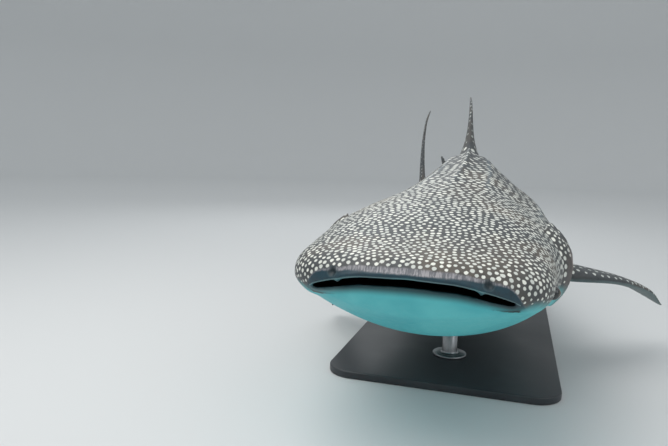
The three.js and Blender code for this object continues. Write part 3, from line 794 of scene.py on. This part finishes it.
# Colours of the skin
SKIN = {
    "ground": linear(68, 72, 75),
    "ground_warm": linear(94, 87, 79),
    "ground_deep": linear(44, 50, 54),
    "spot": linear(236, 237, 228),
    "spot_dim": linear(166, 174, 172),
    "ridge": linear(120, 134, 142),
    # The belly's two teals are the water's light painted onto pale skin; belly_rear, paler and greyer, takes
    # over towards the tail
    "belly": linear(100, 204, 208),
    "belly_shade": linear(76, 186, 194),
    "belly_rear": linear(176, 204, 204),
    # The upper lip's dark band: spotless darker skin, partly painted shade on the forward- and
    # downward-facing front of the jaw
    "shaded_band": linear(34, 64, 76),
    "rim": linear(158, 156, 160),
    "rim_streak": linear(104, 106, 112),
    "lip_edge": linear(120, 150, 152),
    # Painted shadow colour, under the upper jaw on the lower lip and round the nostril pits
    "painted_shadow": linear(30, 48, 54),
    # Near-black painted shade, inside the mouth and the nostril pits
    "mouth": linear(10, 12, 14),
    "gill": linear(112, 98, 92),
    "gill_edge": linear(180, 164, 162),
}


def skin_material():
    m = Shader("whale_shark_skin")
    place = m.node("ShaderNodeTexCoord").outputs["Object"]
    station, pale, fin = m.number("station"), m.number("pale"), m.number("fin")

    # Spots, with slightly uneven edges, and broken pale bars across the rear half
    wobble = m.math("SUBTRACT", m.noise(place, 95, 2.0).outputs["Fac"], 0.5)
    spots = m.math("ADD", m.number("spot"), m.math("MULTIPLY", wobble, 0.5))
    spots = m.ramp(spots, -0.12, 0.2)
    drift = m.math("MULTIPLY", m.math("SUBTRACT", m.noise(place, 7, 2.0).outputs["Fac"], 0.5), 0.35)
    across = m.math("FRACT", m.math("ADD", m.math("MULTIPLY", station, COLUMNS["per_metre"]), drift))
    broken = m.ramp(m.noise(place, 11, 2.0).outputs["Fac"], 0.46, 0.56)
    off_line = m.math("ABSOLUTE", m.math("SUBTRACT", across, 0.5))
    bars = m.math("MULTIPLY", m.ramp(off_line, 0.06, 0.025), broken)
    bars = m.math("MULTIPLY", bars, m.ramp(station, 1.6, 2.4, 0, 0.5))
    bars = m.math("MULTIPLY", bars, m.ramp(fin, 0.2, 0.8, 1, 0))
    spots = m.math("MAXIMUM", spots, bars)
    shade = m.number("shade")

    patches = m.noise(place, 2.3, 4.0).outputs["Fac"]
    mottle = m.noise(place, 38, 4.0, 0.65).outputs["Fac"]
    ground = m.mix(m.ramp(patches, 0.42, 0.68), SKIN["ground"], SKIN["ground_warm"])
    ground = m.mix(m.ramp(mottle, 0.5, 0.75, 0, 0.55), ground, SKIN["ground_deep"])
    light = m.mix(m.ramp(shade, 0, 1, 0, 0.5), SKIN["spot"], SKIN["spot_dim"])
    light = m.mix(m.math("MULTIPLY", fin, 0.65), light, SKIN["spot_dim"])
    ground = m.mix(m.math("MULTIPLY", m.number("ridge"), 0.5), ground, SKIN["ridge"])
    back = m.mix(m.math("MULTIPLY", spots, m.ramp(station, 1.6, 5.0, 1, 0.7)), ground, light)

    # Upper lip: a dark band with no spots, partly its own darker skin and partly painted shade on the front
    # of the jaw that faces forward and down, and over it a pale rim with fine streaks
    streaks = m.noise(m.scaled(place, (1, 0.3, 0.08)), 170, 2.0, 0.6).outputs["Fac"]
    rim = m.mix(m.ramp(streaks, 0.4, 0.62), SKIN["rim_streak"], SKIN["rim"])
    uneven = m.math("MULTIPLY", m.math("SUBTRACT", mottle, 0.5), 0.01)
    back = m.mix(m.ramp(m.math("ADD", m.number("rim"), uneven), 0.006, -0.003), back, rim)
    shaded_band = m.mix(m.ramp(mottle, 0.4, 0.7, 0, 0.5), SKIN["shaded_band"], SKIN["ground_deep"])
    back = m.mix(m.ramp(m.math("ADD", m.number("shaded_band"), uneven), 0.005, -0.004), back, shaded_band)
    back = m.mix(m.ramp(m.math("ABSOLUTE", m.number("lip")), 0.0035, 0.001, 0, 0.6), back, SKIN["lip_edge"])

    # Belly, with an uneven edge and a teal that is the water's light painted onto pale skin, and the painted
    # shadow on the lower lip
    soft = m.noise(place, 9, 3.0).outputs["Fac"]
    cloud = m.noise(place, 3.2, 3.0).outputs["Fac"]
    # Painted light: the teal of the water, fading towards the tail
    belly = m.mix(m.ramp(cloud, 0.4, 0.65), SKIN["belly"], SKIN["belly_shade"])
    belly = m.mix(m.ramp(station, 0.5, 1.8, 0, 0.75), belly, SKIN["belly_rear"])
    belly = m.mix(m.math("MULTIPLY", fin, 0.8), belly, SKIN["ground"])
    edge = m.math("ADD", pale, m.math("MULTIPLY", m.math("SUBTRACT", soft, 0.5), 0.05))
    colour = m.mix(m.ramp(edge, -0.022, 0.034), back, belly)
    # Painted shadow on the lower lip, under the overhanging upper jaw
    colour = m.mix(m.math("MULTIPLY", m.number("painted_shadow"), 0.92), colour, SKIN["painted_shadow"])
    tissue = m.mix(mottle, SKIN["gill"], SKIN["ground"])
    colour = m.mix(m.math("MULTIPLY", m.number("gill"), 0.7), colour, tissue)
    colour = m.mix(m.math("MULTIPLY", m.number("gill_edge"), 0.75), colour, SKIN["gill_edge"])
    nostril = m.number("nostril")
    off_ring = m.math("ABSOLUTE", m.math("SUBTRACT", nostril, 0.021))
    colour = m.mix(m.ramp(off_ring, 0.004, 0.001, 0, 0.1), colour, SKIN["lip_edge"])
    # Painted shade: darker towards each nostril pit, and near-black inside it
    colour = m.mix(m.ramp(nostril, 0.026, 0.011), colour, SKIN["painted_shadow"])
    colour = m.mix(m.ramp(nostril, 0.015, 0.01), colour, SKIN["mouth"])
    # Painted shade: the inside of the mouth near-black
    colour = m.mix(m.number("mouth"), colour, SKIN["mouth"])

    # Fine toothed skin, shallow creases, and spots that stand a hair proud
    grain = m.noise(place, 520, 2.0, 0.6).outputs["Fac"]
    crease = m.noise(m.scaled(place, (1, 0.3, 1)), 26, 4.0, 0.6).outputs["Fac"]
    normal = m.bump(crease, 0.35, 0.006)
    normal = m.bump(spots, 0.12, 0.002, normal)
    normal = m.bump(grain, 0.3, 0.0012, normal)
    rough = m.ramp(mottle, 0.3, 0.7, 0.4, 0.58, False)
    return m.finish(Base_Color=colour, Roughness=rough, Normal=normal, Specular_IOR_Level=0.45)


def eye_material():
    m = Shader("eye_wet")
    look = m.number("look")
    place = m.node("ShaderNodeTexCoord").outputs["Object"]
    fibres = m.noise(place, 420, 3.0, 0.7).outputs["Fac"]
    iris = m.mix(m.ramp(fibres, 0.35, 0.65), linear(52, 50, 46), linear(104, 98, 84))
    colour = m.mix(m.ramp(look, 0.36, 0.4), linear(5, 6, 8), iris)
    colour = m.mix(m.ramp(look, 0.7, 0.82), colour, linear(28, 34, 38))
    return m.finish(Base_Color=colour, Roughness=0.06, Coat_Weight=0.6, Coat_Roughness=0.03)


def painted_steel():
    m = Shader("stand_paint")
    place = m.node("ShaderNodeTexCoord").outputs["Object"]
    peel = m.noise(place, 260, 3.0).outputs["Fac"]
    wear = m.noise(place, 3.0, 4.0).outputs["Fac"]
    colour = m.mix(m.ramp(wear, 0.4, 0.7), linear(50, 53, 57), linear(60, 63, 66))
    normal = m.bump(peel, 0.15, 0.0006)
    return m.finish(Base_Color=colour, Roughness=m.ramp(wear, 0.3, 0.7, 0.38, 0.5, False), Normal=normal)


def brushed_steel():
    m = Shader("stand_rod_steel")
    place = m.node("ShaderNodeTexCoord").outputs["Object"]
    lines = m.noise(m.scaled(place, (1, 1, 0.02)), 900, 3.0, 0.7).outputs["Fac"]
    colour = m.mix(m.ramp(lines, 0.35, 0.65), linear(150, 152, 155), linear(182, 184, 186))
    rough = m.ramp(lines, 0.3, 0.7, 0.28, 0.4, False)
    return m.finish(Base_Color=colour, Roughness=rough, Metallic=1.0, Normal=m.bump(lines, 0.08, 0.0004))


def studio_paint():
    m = Shader("studio")
    return m.finish(Base_Color=linear(214, 216, 217), Roughness=0.9, Specular_IOR_Level=0.2)


def dress(obj, material, nodes):
    obj.data.materials.clear()
    obj.data.materials.append(material)
    obj.data.polygons.foreach_set("use_smooth", np.ones(len(obj.data.polygons), bool))
    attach(obj, "root")
    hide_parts(*nodes)


def build_eye(name, side):
    centre = eye_centre(side)
    angle = math.radians(float(heading(EYE["s"])))
    outward = np.array([side * math.cos(angle), side * math.sin(angle), 0.0])
    up = np.array([0, 0, 1.0])
    along = np.cross(up, outward)
    turn = np.linspace(0, 2 * np.pi, 48, endpoint=False)
    rings, look = [], []
    for polar in np.linspace(0.01, math.pi - 0.01, 40):
        bulge = 1 + 0.06 * float(ease(1 - polar / 0.75))
        radius = EYE["radius"] * bulge
        ring = centre + radius * (math.cos(polar) * outward + math.sin(polar)
                                  * (np.cos(turn)[:, None] * along + np.sin(turn)[:, None] * up))
        rings.append(ring)
        look += [polar] * len(turn)
    eye = loft(name + "_ball", rings)
    add_attribute(eye.data, "look", look)
    dress(eye, eye_material(), [name])


def turned(name, profile, centre, around=96):
    """A closed solid of revolution about a vertical axis, through rows of (radius, z)."""
    turn = np.linspace(0, 2 * np.pi, around, endpoint=False)
    rings = [np.stack([r * np.cos(turn), r * np.sin(turn), np.full(around, z)], 1) + centre
             for r, z in profile]
    return loft(name, rings)


def build_stand():
    low, high = (np.array(corner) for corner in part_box("stand_base"))
    centre, half = (low + high) / 2, (high - low) / 2
    bevel, corner = BASE["bevel"], BASE["corner"]
    quarter = np.radians(np.linspace(0, 90, 17))
    rings = []
    steps = [(bevel * (1 - math.sin(t)), bevel * (1 - math.cos(t)))
             for t in np.radians(np.linspace(0, 90, 7))]
    levels = [(inset, low[2] + lift) for inset, lift in steps]
    levels += [(inset, high[2] - lift) for inset, lift in reversed(steps)]
    for inset, z in levels:
        outline = []
        for k, (sx, sy) in enumerate([(1, 1), (-1, 1), (-1, -1), (1, -1)]):
            cx, cy = centre[0] + sx * (half[0] - corner), centre[1] + sy * (half[1] - corner)
            for t in quarter + k * math.pi / 2:
                outline.append((cx + (corner - inset) * math.cos(t), cy + (corner - inset) * math.sin(t), z))
        rings.append(outline)
    base = loft("stand_base_plate", rings)
    dress(base, painted_steel(), ["stand_base"])
    steel = brushed_steel()
    for node in ("stand_rod_front", "stand_rod_rear"):
        foot, top = (np.array(corner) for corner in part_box(node))
        x, y = (foot[:2] + top[:2]) / 2
        r, c, h, b = (ROD[key] for key in ("radius", "collar", "collar_height", "edge"))
        z0 = foot[2]
        fillet = [(r + ROD["fillet"] * (1 - math.sin(t)), z0 + h + ROD["fillet"] * (1 - math.cos(t)))
                  for t in np.radians(np.linspace(0, 90, 6))]
        profile = [(c - b, z0), (c, z0 + b), (c, z0 + h - b), (c - b, z0 + h), *fillet,
                   (r, top[2] + ROD["into_fish"])]
        rod = turned(f"{node}_steel", profile, np.array([x, y, 0]))
        dress(rod, steel, [node])


def build_studio():
    """A plain pale floor that curves up all round into a backdrop, soft lights and an even grey world."""
    flat, curve, around = STUDIO["flat"], STUDIO["bend"], STUDIO["sides"]
    bend = [(flat + curve * math.sin(t), curve - curve * math.cos(t))
            for t in np.radians(np.linspace(0, 90, 19))]
    profile = [(0.01, 0.0), (6.0, 0.0), (13.0, 0.0), *bend, (flat + curve, STUDIO["rim"])]
    turn = np.linspace(0, 2 * np.pi, around, endpoint=False)
    rings = []
    for radius, z in profile:
        level = np.full(around, z - STUDIO["below_base"])
        rings.append(np.stack([radius * np.cos(turn), radius * np.sin(turn), level], 1))
    faces = []
    for row in range(len(rings) - 1):
        for k in range(around):
            a, b = row * around + k, row * around + (k + 1) % around
            faces.append([a, b, b + around, a + around][::-1])
    faces.append(list(range(around)))
    floor = new_mesh("studio_floor", np.concatenate(rings), faces)
    floor.data.polygons.foreach_set("use_smooth", np.ones(len(faces), bool))
    floor.data.materials.append(studio_paint())
    for name, at, towards, size, power, colour in LIGHTS:
        data = bpy.data.lights.new(name, "AREA")
        data.shape, data.size, data.energy, data.color = "SQUARE", size, power, colour
        lamp = bpy.data.objects.new(name, data)
        lamp.location = at
        lamp.visible_camera = False
        direction = Vector(towards) - Vector(at)
        lamp.rotation_euler = direction.to_track_quat("-Z", "Y").to_euler()
        bpy.context.scene.collection.objects.link(lamp)
    world = bpy.data.worlds.new("studio_world")
    world.use_nodes = True
    background = world.node_tree.nodes["Background"]
    background.inputs["Color"].default_value = linear(226, 230, 232)
    background.inputs["Strength"].default_value = STUDIO["world_strength"]
    bpy.context.scene.world = world
    bpy.context.scene.view_settings.view_transform = "Standard"


def build_camera():
    """The camera of the photo, placed from the tip of the snout."""
    azimuth, yaw, pitch, roll = (math.radians(CAMERA[key]) for key in ("azimuth", "yaw", "pitch", "roll"))
    reach = CAMERA["distance"]
    at = np.array([reach * math.sin(azimuth), -reach * math.cos(azimuth), CAMERA["height"]]) + Swim.offset
    forward = Vector((-math.sin(yaw) * math.cos(pitch), math.cos(yaw) * math.cos(pitch), -math.sin(pitch)))
    level = Vector((math.cos(yaw), math.sin(yaw), 0))
    upright = level.cross(forward)
    right = level * math.cos(roll) + upright * math.sin(roll)
    up = upright * math.cos(roll) - level * math.sin(roll)
    data = bpy.data.cameras.new("camera")
    data.sensor_width = CAMERA["sensor_mm"]
    data.lens = CAMERA["focal_px"] * data.sensor_width / CAMERA["image_width"]
    data.clip_end = CAMERA["sees_to"]
    camera = bpy.data.objects.new("camera", data)
    turn = Matrix((right, up, -forward)).transposed().to_4x4()
    camera.matrix_world = Matrix.Translation(at) @ turn
    bpy.context.scene.collection.objects.link(camera)
    bpy.context.scene.camera = camera


skin = build_skin()
ends = edge_ends(skin.data)
surface = push_jaw_back(smoothed(coordinates(skin.data), ends, **SMOOTHING))
skin.data.vertices.foreach_set("co", surface.ravel())
skin.data.update()
paint_coordinates(skin)
flesh = [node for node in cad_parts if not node.startswith(("eye_", "stand_"))]
dress(skin, skin_material(), flesh)
for side, name in ((1, "eye_left"), (-1, "eye_right")):
    build_eye(name, side)
build_stand()
build_studio()
build_camera()
